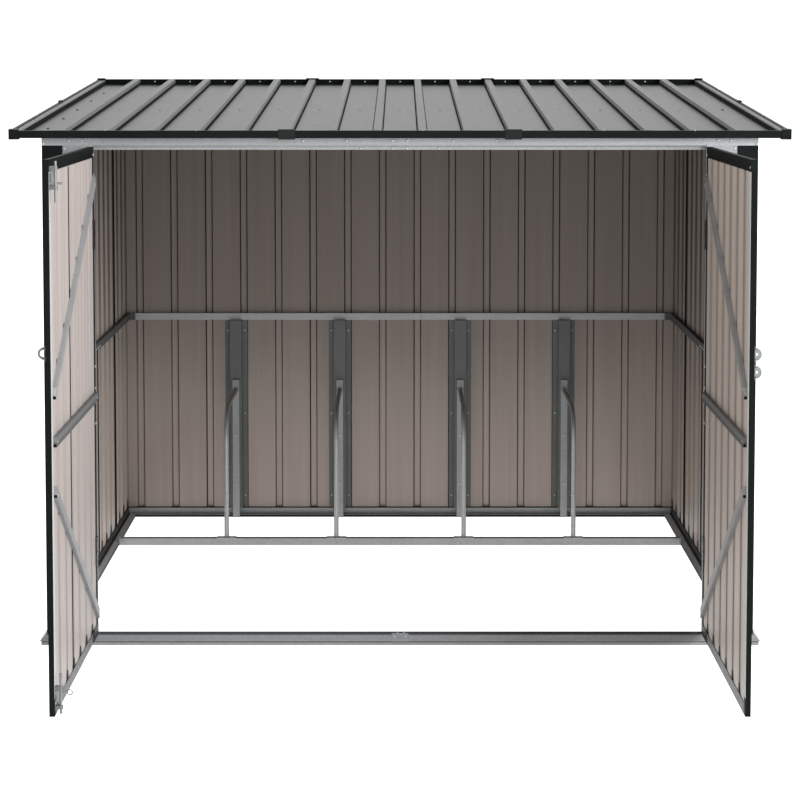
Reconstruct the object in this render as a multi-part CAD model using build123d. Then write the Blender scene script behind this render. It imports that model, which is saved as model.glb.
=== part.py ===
"""Metal bike shelter: folded steel frame, ribbed sheet walls, lean-to roof, two hinged doors.

Millimetres, +Z up, +Y to the back. The origin is the middle of the front sill's ground face.
The doors are drawn standing open at a right angle, with both of the left door's bolts drawn back.
"""
from build123d import *
from math import atan, atan2, cos, degrees, hypot
import os

# Overall frame, measured over the outer faces of the corner posts
frame_width = 2000
frame_depth = 1928
running_gap = 0.3
overrun = 50

# Base rails: one rolled section, lip and shoulder outside, trough for the sheets, tread inside
rail_sheet = 1.5
rail_lip_reach = 14.6
rail_lip_height = 15.5
rail_upstand_height = 32
rail_hem_slit = 0.6
rail_tread_height = 10
rail_inner_reach = 43

# Corner posts and door jambs
post_sheet = 1.5
post_front_leg = 58
post_side_leg = 45
corner_gap = 1.5
jamb_sheet = 1.5
jamb_past_hinge = 5
jamb_rail_gap = 0.5

# Header over the doorway
header_sheet = 1.5
header_face_height = 25
header_lip_height = 12.5
header_lip_clearance = 3
header_top_flange = 25

# Lean-to roof
roof_overhang = 32.6
roof_side_overhang = 85
roof_front_bottom_height = 1434
roof_rise = 125
roof_sheet = 1.0
roof_rib_pitch = 126
roof_rib_foot = 28
roof_rib_crown = 22
roof_rib_end_slope = 3
roof_rib_lip_gap = 1
roof_middle_sheet_share = 0.375
trim_sheet = 1.5
trim_height = 21
trim_flange_gap = 2.6
trim_top_lip = 9
trim_joiner_length = 47
trim_joiner_flange = 14
trim_cap_sheet = 1.6
trim_cap_length = 25.5
trim_cap_overlap = 2

# Ribbed wall sheets
wall_sheet = 1.0
wall_rib_pitch = 125
wall_rib_foot = 27
wall_rib_crown = 20
wall_rib_rise = 10
wall_rib_clearance = 1.2
wall_header_gap = 2
wall_back_edge_setback = 4
side_front_sheet_share = 0.57
back_middle_sheet_share = 0.375

# Rails inside the walls and under the roof
mid_rail_bottom_height = 715
mid_rail_height = 24
mid_rail_depth = 13
mid_rail_sheet = 1.2
top_rail_leg = 25
top_rail_sheet = 1.5
purlin_place_share = 0.45
purlin_width = 40
purlin_depth = 24
purlin_flange = 14
purlin_sheet = 1.2

# Wheel racks
rack_rail_from_back = 549
rack_rail_width = 28
rack_rail_height = 24
rack_rail_sheet = 1.5
rack_outer_place = 591
rack_inner_place = 217
hoop_tube_radius = 8
hoop_tube_wall = 1.5
hoop_height = 462
hoop_bend_radius = 110
saddle_width = 66
saddle_thickness = 2
upright_width = 24
upright_depth = 9
upright_sheet = 1.5
upright_above_hoop = 38
wall_post_width = 80
wall_post_crown = 42
wall_post_sheet = 1.2

# Doors
door_hinge_past_post = 82
door_thickness = 14
door_gap_to_post = 6
door_meeting_gap = 6
door_sill_clearance = 1.9
door_head_clearance = 2.5
door_frame_sheet = 1.2
door_stile_flange = 24
door_rail_height = 30
door_panel_sheet = 1.0
door_panel_rib_pitch = 125
door_panel_rib_foot = 24
door_panel_rib_crown = 18
door_panel_inset = 1.5
brace_width = 25
brace_depth = 10
brace_sheet = 1.2
brace_middle_from_bottom = 681
brace_upper_from_top = 96
brace_upper_from_middle = 121
brace_lower_from_middle = 124
brace_lower_from_bottom = 67

# Butt hinges
hinge_height = 82
hinge_low_from_bottom = 241
hinge_high_from_top = 245
hinge_pin_radius = 2.5
hinge_pin_clearance = 0.1
hinge_knuckle_radius = 5.5
hinge_knuckle_gap = 0.5
hinge_plate = 2.5
hinge_leaf_width = 30
hinge_fixed_width = 40
hinge_arm_width = 8

# Barrel bolts on the left door
bolt_rod_radius = 3.5
bolt_rod_clearance = 0.15
bolt_trough_share = 0.6
bolt_edge_distance = 12
bolt_throw = 26
bolt_tail = 5
bolt_top_tip_clearance = 6.5
bolt_bottom_tip_clearance = 5
bolt_plate_width = 21
bolt_plate_length = 58
bolt_plate_thickness = 1.5
bolt_plate_from_tip = 12
bolt_keeper_height = 9
bolt_keeper_wall = 2
bolt_knob_radius = 3
bolt_knob_length = 13
bolt_hole_radius = 4.5

# Padlock eyes on the outer door faces, heights above the door's bottom edge
eye_wire_radius = 2.25
eye_reach = 18
eye_span = 28
eye_plate_width = 14
eye_plate_height = 40
eye_plate_thickness = 1.5
eye_edge_distance = 16
left_eye_heights = (902,)
right_eye_heights = (900, 856)

# Places worked out from the sizes above
half_width = frame_width / 2
rail_trough = wall_rib_rise + 2 * wall_sheet + running_gap + wall_rib_clearance
front_y = -rail_trough / 2
back_y = front_y + frame_depth
middle_y = (front_y + back_y) / 2
wall_inset = rail_trough
corner_setback = wall_inset + corner_gap
wall_edge_setback = header_top_flange + wall_header_gap
header_lip_setback = rail_trough + header_lip_clearance
jamb_return = rail_trough - post_sheet - jamb_rail_gap
trim_bottom_flange = roof_overhang - trim_flange_gap
roof_run = frame_depth + 2 * roof_overhang
roof_angle = atan(roof_rise / roof_run)
roof_slope_share = roof_rise / roof_run
roof_length = hypot(roof_run, roof_rise)
roof_width = frame_width + 2 * roof_side_overhang
roof_front_y = front_y - roof_overhang
upright_height = hoop_height + upright_above_hoop
pivot_y = front_y - door_gap_to_post - door_thickness / 2
door_hinge_from_middle = half_width - post_front_leg - door_hinge_past_post
door_edge_from_pivot = hinge_knuckle_radius + hinge_knuckle_gap
door_end = door_hinge_from_middle - door_meeting_gap / 2
door_panel_face = door_thickness / 2 - door_frame_sheet - running_gap
door_panel_rib_rise = 2 * door_panel_face - door_panel_sheet
bolt_standoff = door_gap_to_post + rail_trough * bolt_trough_share
rack_places = (-rack_outer_place, -rack_inner_place, rack_inner_place, rack_outer_place)
roof_plane = Plane(
    origin=(0, middle_y, roof_front_bottom_height + roof_rise / 2),
    x_dir=(1, 0, 0),
    z_dir=(0, -roof_rise, roof_run),
)


def seat_height(y):
    """Height of the roof sheets' underside at a distance y from the origin."""
    lift = trim_sheet / cos(roof_angle)
    return roof_front_bottom_height + lift + (y - roof_front_y) * roof_slope_share


# Heights that follow the roof and the sill
header_soffit_height = seat_height(front_y) - header_face_height
header_lip_bottom_height = header_soffit_height - header_lip_height
door_bottom_height = rail_lip_height + rail_lip_reach + door_sill_clearance
door_top_height = header_soffit_height - door_head_clearance
brace_middle_height = door_bottom_height + brace_middle_from_bottom
bolt_top_tip_height = header_soffit_height - bolt_top_tip_clearance
bolt_bottom_tip_height = rail_upstand_height + bolt_bottom_tip_clearance


def block(low, high):
    """Box between two opposite corners."""
    size = [b - a for a, b in zip(low, high)]
    centre = [(a + b) / 2 for a, b in zip(low, high)]
    return Pos(*centre) * Box(*size)


def polygon(points):
    return make_face(Polyline(*points, close=True))


def folded(points, sheet):
    """Section of a folded sheet: one face runs through the points, the sheet lies on its left."""
    face_line = [Vector(*point) for point in points]
    runs = [(b - a).normalized() for a, b in zip(face_line, face_line[1:])]
    sides = [Vector(-run.Y, run.X) for run in runs]
    back_line = []
    for here, before, after in zip(face_line, sides[:1] + sides, sides + sides[-1:]):
        mitre = (before + after).normalized()
        back_line.append(here + mitre * (sheet / mitre.dot(after)))
    return polygon([*face_line, *reversed(back_line)])


def upright_face(section):
    """Stand a section up: its first axis points to the front, its second up, its normal to -X."""
    return Plane(origin=(0, 0, 0), x_dir=(0, -1, 0), z_dir=(-1, 0, 0)) * section


def mitred_run(section, span, outward, inward, bottom, top):
    """Length of a frame side along X, outside to the front, with both ends cut on the mitre."""
    length = span / 2 + outward + overrun
    bar = extrude(upright_face(section), amount=length, both=True)
    outline = polygon([
        (-span / 2 - outward, -outward),
        (span / 2 + outward, -outward),
        (span / 2 - inward, inward),
        (-span / 2 + inward, inward),
    ])
    return bar & extrude(Pos(0, 0, bottom - overrun) * outline, amount=top - bottom + 2 * overrun)


def tall_face(section):
    """Stand a section of points (y, z) in the side view."""
    return Plane.YZ * section


# Space under the roof sheets, used to cut wall tops to the slope
under_roof = extrude(
    tall_face(polygon([
        (roof_front_y, 0),
        (roof_front_y + roof_run, 0),
        (roof_front_y + roof_run, seat_height(roof_front_y + roof_run) - running_gap),
        (roof_front_y, seat_height(roof_front_y) - running_gap),
    ])),
    amount=half_width + overrun,
    both=True,
)


def base_rail(span):
    """Rolled base rail: lip, shoulder, trough, hemmed upstand and inner tread."""
    hem = 2 * rail_sheet + rail_hem_slit
    section = folded(
        [
            (rail_lip_reach, 0),
            (rail_lip_reach, rail_lip_height),
            (0, rail_lip_height + rail_lip_reach),
            (0, rail_sheet),
            (-rail_trough, rail_sheet),
            (-rail_trough, rail_upstand_height),
            (-rail_trough - hem, rail_upstand_height),
            (-rail_trough - hem, rail_tread_height),
            (-rail_inner_reach, rail_tread_height),
            (-rail_inner_reach, 0),
        ],
        rail_sheet,
    )
    return mitred_run(section, span, rail_lip_reach, rail_inner_reach, 0, rail_upstand_height)


def base_rails():
    front = base_rail(frame_width)
    side = base_rail(frame_depth)
    return {
        "front_sill": Pos(0, front_y, 0) * front,
        "back_base_rail": Pos(0, back_y, 0) * Rot(0, 0, 180) * front,
        "left_base_rail": Pos(-half_width, middle_y, 0) * Rot(0, 0, -90) * side,
        "right_base_rail": Pos(half_width, middle_y, 0) * Rot(0, 0, 90) * side,
    }


def both_sides(part):
    """A piece and its mirror image on the other side."""
    return Compound([part, mirror(part, about=Plane.YZ)])


def corner_posts():
    """Folded angle posts that stand in the trough of the base rails."""
    section = folded([(0, post_side_leg), (0, 0), (post_front_leg, 0)], post_sheet)
    front_height = header_soffit_height - rail_sheet
    front = Pos(-half_width, front_y, rail_sheet) * extrude(section, amount=front_height)
    back_height = seat_height(back_y)
    back = Pos(-half_width, back_y, rail_sheet) * mirror(
        extrude(section, amount=back_height), about=Plane.XZ
    )
    return {
        "front_corner_posts": both_sides(front),
        "back_corner_posts": both_sides(back & under_roof),
    }


def door_jambs():
    """Folded hinge jambs behind the front corner posts."""
    plate_y = front_y + post_sheet
    outer_edge = half_width - corner_setback
    inner_edge = door_hinge_from_middle - jamb_past_hinge
    section = folded(
        [
            (-outer_edge, plate_y),
            (-inner_edge, plate_y),
            (-inner_edge, plate_y + jamb_return),
        ],
        jamb_sheet,
    )
    height = header_soffit_height - rail_sheet
    return {"door_jambs": both_sides(Pos(0, 0, rail_sheet) * extrude(section, amount=height))}


def header():
    """Rolled header: face, soffit and a set-back lip, with a hole for the left door's top bolt."""
    section = folded(
        [
            (front_y + header_lip_setback, header_lip_bottom_height),
            (front_y + header_lip_setback, header_soffit_height),
            (front_y, header_soffit_height),
            (front_y, seat_height(front_y)),
            (front_y + header_top_flange, seat_height(front_y + header_top_flange)),
        ][::-1],
        header_sheet,
    )
    bar = extrude(tall_face(section), amount=half_width, both=True)
    cut_x = half_width - corner_setback
    lip_end = block(
        (cut_x, front_y - overrun, header_lip_bottom_height - overrun),
        (half_width + overrun, front_y + overrun, header_soffit_height),
    )
    end_top = header_soffit_height + header_face_height - header_sheet
    end_plate = block(
        (half_width - header_sheet, front_y, header_soffit_height),
        (half_width, front_y + header_lip_setback, end_top),
    )
    for side in (lip_end, mirror(lip_end, about=Plane.YZ)):
        bar -= side
    for side in (end_plate, mirror(end_plate, about=Plane.YZ)):
        bar += side
    bolt_x = -door_hinge_from_middle + door_end - bolt_edge_distance
    bolt_y = pivot_y + door_thickness / 2 + bolt_standoff
    hole = Pos(bolt_x, bolt_y, header_soffit_height) * Cylinder(bolt_hole_radius, overrun / 2)
    return {"header": bar - hole}


def ribbed(ribs, foot, crown, rise, sheet, start=None, end=None, over_first=False, over_last=False):
    """Section of ribbed sheet along X with ribs towards +Y. An end left out stops on a rib's crown."""
    lift = sheet + running_gap
    points = [] if start is None else [(start, 0)]
    for place in ribs:
        capped_first = over_first and place == ribs[0]
        capped_last = over_last and place == ribs[-1]
        height = rise + (lift if capped_first or capped_last else 0)
        half_crown = crown / 2
        if place != ribs[0] or start is not None:
            points.append((place - foot / 2, 0))
        points.append((place - half_crown - (running_gap if capped_last else 0), height))
        points.append((place + half_crown + (running_gap if capped_first else 0), height))
        if place != ribs[-1] or end is not None:
            points.append((place + foot / 2, 0))
    if end is not None:
        points.append((end, 0))
    return folded(points, sheet)


def rib_row(reach, foot, pitch):
    """Rib places, evenly spaced about zero, as many as fit within a reach to either side."""
    half_count = int((reach - foot / 2) / pitch + 1 / 2)
    return [(number + 1 / 2) * pitch for number in range(-half_count, half_count)]


def side_rib_count(ribs, middle_share):
    """Ribs on each side of a middle sheet that takes a share of them all."""
    half_count = len(ribs) // 2
    return half_count - int(half_count * middle_share + 1 / 2)


def wall_panel(section):
    """Sheet of a wall, standing on the trough's floor and cut to the roof's slope later."""
    return Pos(0, 0, rail_sheet) * extrude(section, amount=seat_height(back_y))


def back_wall():
    """Back wall in three sheets; the outer sheets cap the middle sheet's end ribs."""
    form = (wall_rib_foot, wall_rib_crown, wall_rib_rise, wall_sheet)
    edge = half_width - corner_setback
    ribs = rib_row(edge, wall_rib_foot, wall_rib_pitch)
    side_count = side_rib_count(ribs, back_middle_sheet_share)
    middle = ribbed(ribs[side_count:-side_count], *form)
    right = ribbed(ribs[-side_count - 1:], *form, end=edge, over_first=True)
    left = ribbed(ribs[:side_count + 1], *form, start=-edge, over_last=True)
    place = Pos(0, back_y - wall_inset, 0)
    sheets = [place * wall_panel(section) & under_roof for section in (left, middle, right)]
    return {"back_wall": Compound(sheets)}


def side_walls():
    """Side walls in two sheets each; the front sheet caps the back sheet's first rib."""
    form = (wall_rib_foot, wall_rib_crown, wall_rib_rise, wall_sheet)
    front_edge = front_y + wall_edge_setback - middle_y
    back_edge = back_y - wall_back_edge_setback - middle_y
    ribs = rib_row(min(-front_edge, back_edge), wall_rib_foot, wall_rib_pitch)
    front_count = int(len(ribs) * side_front_sheet_share + 1 / 2)
    front = ribbed(ribs[:front_count], *form, start=front_edge, over_last=True)
    back = ribbed(ribs[front_count - 1:], *form, end=back_edge)
    place = Pos(-half_width + wall_inset, middle_y, 0) * Rot(0, 0, 90)
    left = [place * wall_panel(section) & under_roof for section in (front, back)]
    right = [mirror(sheet, about=Plane.YZ) for sheet in left]
    return {"left_wall": Compound(left), "right_wall": Compound(right)}


def mid_rails():
    """Channel rails half way up the walls, open towards the sheets."""
    top = mid_rail_bottom_height + mid_rail_height
    section = folded(
        [
            (0, top),
            (-mid_rail_depth, top),
            (-mid_rail_depth, mid_rail_bottom_height),
            (0, mid_rail_bottom_height),
        ],
        mid_rail_sheet,
    )
    bar_face = upright_face(section)
    back_half = half_width - wall_inset
    back_bar = extrude(bar_face, amount=back_half, both=True)
    back = Pos(0, back_y - wall_inset, 0) * Rot(0, 0, 180) * back_bar
    side_start = front_y + corner_setback
    side_end = back_y - wall_inset - mid_rail_depth - running_gap
    side = extrude(bar_face, amount=(side_end - side_start) / 2, both=True)
    left = Pos(-back_half, (side_start + side_end) / 2, 0) * Rot(0, 0, -90) * side
    return {"mid_rails": Compound([back, left, mirror(left, about=Plane.YZ)])}


def top_rails():
    """Angles that carry the roof sheets along the tops of the side and back walls."""
    inner_x = half_width - wall_inset
    section = folded([(0, -top_rail_leg), (0, 0), (-top_rail_leg, 0)], top_rail_sheet)
    seat_plane = roof_plane.offset(trim_sheet)
    start = (front_y + wall_edge_setback - middle_y) / cos(roof_angle)
    end = (back_y - wall_inset - top_rail_leg - rail_sheet - middle_y) / cos(roof_angle)
    along = Plane(origin=(inner_x, start, 0), x_dir=(1, 0, 0), z_dir=(0, -1, 0))
    right = seat_plane * extrude(along * section, amount=start - end)
    back_face = back_y - wall_inset
    back_section = folded(
        [
            (back_face, seat_height(back_face) - top_rail_leg),
            (back_face, seat_height(back_face)),
            (back_face - top_rail_leg, seat_height(back_face - top_rail_leg)),
        ],
        top_rail_sheet,
    )
    back = extrude(tall_face(back_section), amount=inner_x, both=True)
    return {"top_rails": Compound([right, mirror(right, about=Plane.YZ), back])}


def roof_purlin():
    """Hat channel across the roof, hung between the side top rails."""
    half_crown = purlin_width / 2 - purlin_flange
    section = folded(
        [
            (purlin_width / 2, 0),
            (half_crown, 0),
            (half_crown, -purlin_depth),
            (-half_crown, -purlin_depth),
            (-half_crown, 0),
            (-purlin_width / 2, 0),
        ],
        purlin_sheet,
    )
    reach = half_width - wall_inset - top_rail_leg
    place = (purlin_place_share - 1 / 2) * roof_length
    bar = extrude(Plane.YZ * section, amount=reach, both=True)
    return {"roof_purlin": roof_plane.offset(trim_sheet) * Pos(0, place, 0) * bar}


def roof_sheet_panel(left, right, ribs):
    """Flat roof sheet with pressed ribs that are hollow below and closed at their ends."""
    inner_length = roof_length - 2 * trim_sheet
    rib_rise = trim_height - trim_sheet - roof_sheet
    panel = block((left, -inner_length / 2, 0), (right, inner_length / 2, roof_sheet))
    rib_length = roof_length - 2 * (trim_top_lip + roof_rib_lip_gap)

    crown_length = rib_length - 2 * roof_rib_end_slope

    def bar(shrink, height):
        foot = Rectangle(roof_rib_foot - 2 * shrink, rib_length - 2 * shrink)
        crown = Rectangle(roof_rib_crown - 2 * shrink, crown_length - 2 * shrink)
        return loft([foot, Pos(0, 0, height) * crown])

    for place in ribs:
        panel += Pos(place, 0, roof_sheet) * bar(0, rib_rise)
    for place in ribs:
        panel -= Pos(place, 0, 0) * bar(roof_sheet, rib_rise)
    return roof_plane.offset(trim_sheet) * panel


def roof_ribs():
    """Rib places over the whole roof, and how many lie on each outer sheet."""
    reach = roof_width / 2 - trim_sheet - trim_bottom_flange
    ribs = rib_row(reach, roof_rib_foot, roof_rib_pitch)
    return ribs, side_rib_count(ribs, roof_middle_sheet_share)


def roof_sheets():
    """Three ribbed sheets that butt beside the ribs over the trim joiners."""
    ribs, side_count = roof_ribs()
    middle_edge = ribs[-side_count - 1] + roof_rib_foot / 2
    outer_edge = roof_width / 2 - trim_sheet
    side = roof_sheet_panel(middle_edge + running_gap, outer_edge, ribs[-side_count:])
    middle = roof_sheet_panel(-middle_edge, middle_edge, ribs[side_count:-side_count])
    return {
        "left_roof_sheet": mirror(side, about=Plane.YZ),
        "middle_roof_sheet": middle,
        "right_roof_sheet": side,
    }


def roof_trims():
    """Channel trims round the roof, mitred at the corners."""
    section = folded(
        [
            (-trim_bottom_flange, 0),
            (0, 0),
            (0, trim_height),
            (-trim_top_lip, trim_height),
        ],
        trim_sheet,
    )
    front = mitred_run(section, roof_width, 0, trim_bottom_flange, 0, trim_height)
    side = mitred_run(section, roof_length, 0, trim_bottom_flange, 0, trim_height)
    return {
        "front_roof_trim": roof_plane * Pos(0, -roof_length / 2, 0) * front,
        "back_roof_trim": roof_plane * Pos(0, roof_length / 2, 0) * Rot(0, 0, 180) * front,
        "left_roof_trim": roof_plane * Pos(-roof_width / 2, 0, 0) * Rot(0, 0, -90) * side,
        "right_roof_trim": roof_plane * Pos(roof_width / 2, 0, 0) * Rot(0, 0, 90) * side,
    }


def trim_caps():
    """Corner caps and joiner sleeves that cover the ends of the trim lengths."""
    low = -trim_cap_overlap - trim_cap_sheet
    high = trim_height + trim_cap_overlap + trim_cap_sheet
    reach = trim_cap_length
    past = reach + overrun
    shell = block((-trim_cap_sheet, -trim_cap_sheet, low), (reach, reach, high))
    hollow = block((0, 0, low + trim_cap_sheet), (past, past, high - trim_cap_sheet))
    corner = Pos(-roof_width / 2, -roof_length / 2, 0) * (shell - hollow)
    corners = [corner, mirror(corner, about=Plane.YZ)]
    corners += [mirror(cap, about=Plane.XZ) for cap in corners]
    sleeve = folded(
        [
            (-trim_joiner_flange, low),
            (trim_cap_sheet, low),
            (trim_cap_sheet, high),
            (-trim_top_lip, high),
        ],
        trim_cap_sheet,
    )
    joiner = extrude(upright_face(sleeve), amount=trim_joiner_length / 2, both=True)
    ribs, side_count = roof_ribs()
    joint_x = ribs[-side_count - 1]
    front_joiner = Pos(joint_x, -roof_length / 2, 0) * joiner
    joiners = [front_joiner, mirror(front_joiner, about=Plane.YZ)]
    joiners += [mirror(part, about=Plane.XZ) for part in joiners]
    side_joiner = Pos(roof_width / 2, 0, 0) * Rot(0, 0, 90) * joiner
    joiners += [side_joiner, mirror(side_joiner, about=Plane.YZ)]
    return {
        "roof_corner_caps": Compound([roof_plane * part for part in corners]),
        "roof_trim_joiners": Compound([roof_plane * part for part in joiners]),
    }


def rack_rail():
    """Open channel on the ground, across from one side base rail to the other."""
    low_y = back_y - rack_rail_from_back
    section = folded(
        [
            (low_y, rack_rail_height),
            (low_y, 0),
            (low_y + rack_rail_width, 0),
            (low_y + rack_rail_width, rack_rail_height),
        ],
        rack_rail_sheet,
    )
    reach = half_width - rail_inner_reach
    return {"rack_rail": extrude(tall_face(section), amount=reach, both=True)}


def wheel_hoops():
    """Bent tubes on saddle plates: up from the rack rail, then back to the uprights."""
    foot_y = back_y - rack_rail_from_back + rack_rail_width / 2
    foot_z = rack_rail_height + saddle_thickness
    end_y = back_y - rail_inner_reach - upright_depth
    path = FilletPolyline(
        (0, foot_y, foot_z),
        (0, foot_y, hoop_height),
        (0, end_y, hoop_height),
        radius=hoop_bend_radius,
    )
    ring = Circle(hoop_tube_radius) - Circle(hoop_tube_radius - hoop_tube_wall)
    tube = sweep(Pos(0, foot_y, foot_z) * ring, path=path)
    plate = block(
        (-saddle_width / 2, foot_y - rack_rail_width / 2, rack_rail_height),
        (saddle_width / 2, foot_y + rack_rail_width / 2, foot_z),
    )
    hoop = tube + plate
    names = ("outer_left_hoop", "inner_left_hoop", "inner_right_hoop", "outer_right_hoop")
    return {name: Pos(place, 0, 0) * hoop for name, place in zip(names, rack_places)}


def rack_uprights():
    """Channel uprights and the hat-section wall posts that they stand against."""
    face_y = back_y - rail_inner_reach
    upright_section = folded(
        [
            (-upright_width / 2, face_y),
            (-upright_width / 2, face_y - upright_depth),
            (upright_width / 2, face_y - upright_depth),
            (upright_width / 2, face_y),
        ],
        upright_sheet,
    )
    upright = extrude(upright_section, amount=upright_height)
    wall_y = back_y - wall_inset
    half_crown = wall_post_crown / 2
    post_section = folded(
        [
            (-wall_post_width / 2, wall_y - wall_post_sheet),
            (-half_crown, wall_y - wall_post_sheet),
            (-half_crown, face_y),
            (half_crown, face_y),
            (half_crown, wall_y - wall_post_sheet),
            (wall_post_width / 2, wall_y - wall_post_sheet),
        ],
        wall_post_sheet,
    )
    post_height = mid_rail_bottom_height - rail_upstand_height
    post = Pos(0, 0, rail_upstand_height) * extrude(post_section, amount=post_height)
    return {
        "rack_uprights": Compound([Pos(place, 0, 0) * upright for place in rack_places]),
        "rack_wall_posts": Compound([Pos(place, 0, 0) * post for place in rack_places]),
    }


# Left door's own plane: X along the leaf from its pivot, Y towards the inside, Z up
left_door_plane = Plane(
    origin=(-door_hinge_from_middle, pivot_y, 0),
    x_dir=(0, -1, 0),
    z_dir=(0, 0, 1),
)
door_face = door_thickness / 2


def door_frame():
    """Dark channel frame: a top rail over a hinge stile and a meeting stile."""
    stile_top = door_top_height - door_rail_height
    stile_height = stile_top - door_bottom_height
    meeting = folded(
        [
            (door_end - door_stile_flange, -door_face),
            (door_end, -door_face),
            (door_end, door_face),
            (door_end - door_stile_flange, door_face),
        ],
        door_frame_sheet,
    )
    hinge = folded(
        [
            (door_edge_from_pivot + door_stile_flange, door_face),
            (door_edge_from_pivot, door_face),
            (door_edge_from_pivot, -door_face),
            (door_edge_from_pivot + door_stile_flange, -door_face),
        ],
        door_frame_sheet,
    )
    foot = Pos(0, 0, door_bottom_height)
    stiles = [foot * extrude(face, amount=stile_height) for face in (meeting, hinge)]
    top_section = folded(
        [
            (door_face, stile_top),
            (door_face, door_top_height),
            (-door_face, door_top_height),
            (-door_face, stile_top),
        ],
        door_frame_sheet,
    )
    top = Pos(door_edge_from_pivot, 0, 0) * extrude(
        tall_face(top_section), amount=door_end - door_edge_from_pivot
    )
    return Compound([*stiles, top])


def door_bottom_rail():
    """Galvanised channel between the stiles, open upwards round the panel's lower edge."""
    section = folded(
        [
            (-door_face, door_bottom_height + door_rail_height),
            (-door_face, door_bottom_height),
            (door_face, door_bottom_height),
            (door_face, door_bottom_height + door_rail_height),
        ],
        door_frame_sheet,
    )
    start = door_edge_from_pivot + door_stile_flange
    length = door_end - door_stile_flange - start
    return Pos(start, 0, 0) * extrude(tall_face(section), amount=length)


def door_panel():
    """Ribbed sheet held in the frame's channels, ribs to the outside."""
    middle = (door_edge_from_pivot + door_end) / 2
    half = (door_end - door_edge_from_pivot) / 2 - door_panel_inset
    section = ribbed(
        rib_row(half - door_stile_flange, door_panel_rib_foot, door_panel_rib_pitch),
        door_panel_rib_foot,
        door_panel_rib_crown,
        door_panel_rib_rise,
        door_panel_sheet,
        start=-half,
        end=half,
    )
    bottom = door_bottom_height + door_panel_inset
    height = door_top_height - door_panel_inset - bottom
    sheet = extrude(section, amount=height)
    return Pos(middle, door_panel_face, bottom) * Rot(0, 0, 180) * sheet


def door_braces():
    """Middle bar and two diagonals, shallow channels that lie on the panel between the stiles."""
    section = folded(
        [
            (brace_width / 2, 0),
            (brace_width / 2, brace_depth),
            (-brace_width / 2, brace_depth),
            (-brace_width / 2, 0),
        ],
        brace_sheet,
    )
    start = door_edge_from_pivot + door_stile_flange + running_gap
    end = door_end - door_stile_flange - running_gap
    room = block((start, 0, 0), (end, door_panel_face + brace_depth + overrun, door_top_height))
    bar_plane = Plane(origin=(0, door_panel_face, 0), x_dir=(0, 0, -1), z_dir=(1, 0, 0))
    upper = (door_top_height - brace_upper_from_top, brace_middle_height + brace_upper_from_middle)
    lower = (door_bottom_height + brace_lower_from_bottom, brace_middle_height - brace_lower_from_middle)
    places = ((brace_middle_height, brace_middle_height), upper, lower)
    bars = []
    for hinge_height_here, free_height_here in places:
        fall = free_height_here - hinge_height_here
        length = hypot(end - start, fall)
        bar = extrude(bar_plane * section, amount=length, both=True)
        turn = -degrees(atan2(fall, end - start))
        centre_z = (hinge_height_here + free_height_here) / 2
        bars.append(Pos((start + end) / 2, 0, centre_z) * Rot(0, turn, 0) * bar & room)
    return Compound(bars)


def hinge_places():
    return (door_bottom_height + hinge_low_from_bottom, door_top_height - hinge_high_from_top)


def door_hinge_leaves():
    """Moving hinge leaves on the inner face of the hinge stile, each with one knuckle."""
    knuckle_height = hinge_height / 3 - 2 * hinge_knuckle_gap
    plate = block(
        (door_edge_from_pivot, door_face, -hinge_height / 2),
        (door_edge_from_pivot + hinge_leaf_width, door_face + hinge_plate, hinge_height / 2),
    )
    arm = block(
        (0, hinge_knuckle_radius - hinge_plate, -knuckle_height / 2),
        (door_edge_from_pivot - hinge_knuckle_gap, door_face + hinge_plate, knuckle_height / 2),
    )
    neck = block(
        (0, door_face, -knuckle_height / 2),
        (door_edge_from_pivot, door_face + hinge_plate, knuckle_height / 2),
    )
    bore = Cylinder(hinge_pin_radius + hinge_pin_clearance, hinge_height)
    leaf = plate + arm + neck + Cylinder(hinge_knuckle_radius, knuckle_height) - bore
    return Compound([Pos(0, 0, height) * leaf for height in hinge_places()])


def hinge_brackets():
    """Fixed hinge leaves on the jambs, with two knuckles and the pin."""
    knuckle_height = hinge_height / 3
    jamb_y = front_y + post_sheet - pivot_y
    plate = block(
        (-hinge_fixed_width, jamb_y - hinge_plate, -hinge_height / 2),
        (hinge_arm_width / 2, jamb_y, hinge_height / 2),
    )
    bracket = plate + Cylinder(hinge_pin_radius, hinge_height)
    arm = block(
        (-hinge_arm_width / 2, 0, -knuckle_height / 2),
        (hinge_arm_width / 2, jamb_y, knuckle_height / 2),
    )
    knuckle = arm + Cylinder(hinge_knuckle_radius, knuckle_height)
    for side in (-1, 1):
        bracket += Pos(0, 0, side * knuckle_height) * knuckle
    parts = [Pos(-door_hinge_from_middle, pivot_y, height) * bracket for height in hinge_places()]
    parts += [mirror(part, about=Plane.YZ) for part in parts]
    return {"hinge_brackets": Compound(parts)}


def padlock_eyes(heights):
    """Wire eyes on small plates, on the outer face near the meeting edge."""
    wire = Circle(eye_wire_radius)
    arc = ThreePointArc((0, 0, -eye_span / 2), (0, -eye_reach, 0), (0, 0, eye_span / 2))
    start = Plane(origin=arc @ 0, z_dir=arc % 0)
    ring = sweep(start * wire, path=arc)
    below = block((-eye_span, -eye_plate_thickness, -eye_span), (eye_span, overrun, eye_span))
    plate = block(
        (-eye_plate_width / 2, -eye_plate_thickness, -eye_plate_height / 2),
        (eye_plate_width / 2, 0, eye_plate_height / 2),
    )
    eye = ring - below + plate
    eye_x = door_end - eye_edge_distance
    foot = Pos(eye_x, -door_face, door_bottom_height)
    return Compound([foot * Pos(0, 0, height) * eye for height in heights])


def bolt_axis_place():
    return (door_end - bolt_edge_distance, door_face + bolt_standoff)


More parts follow.
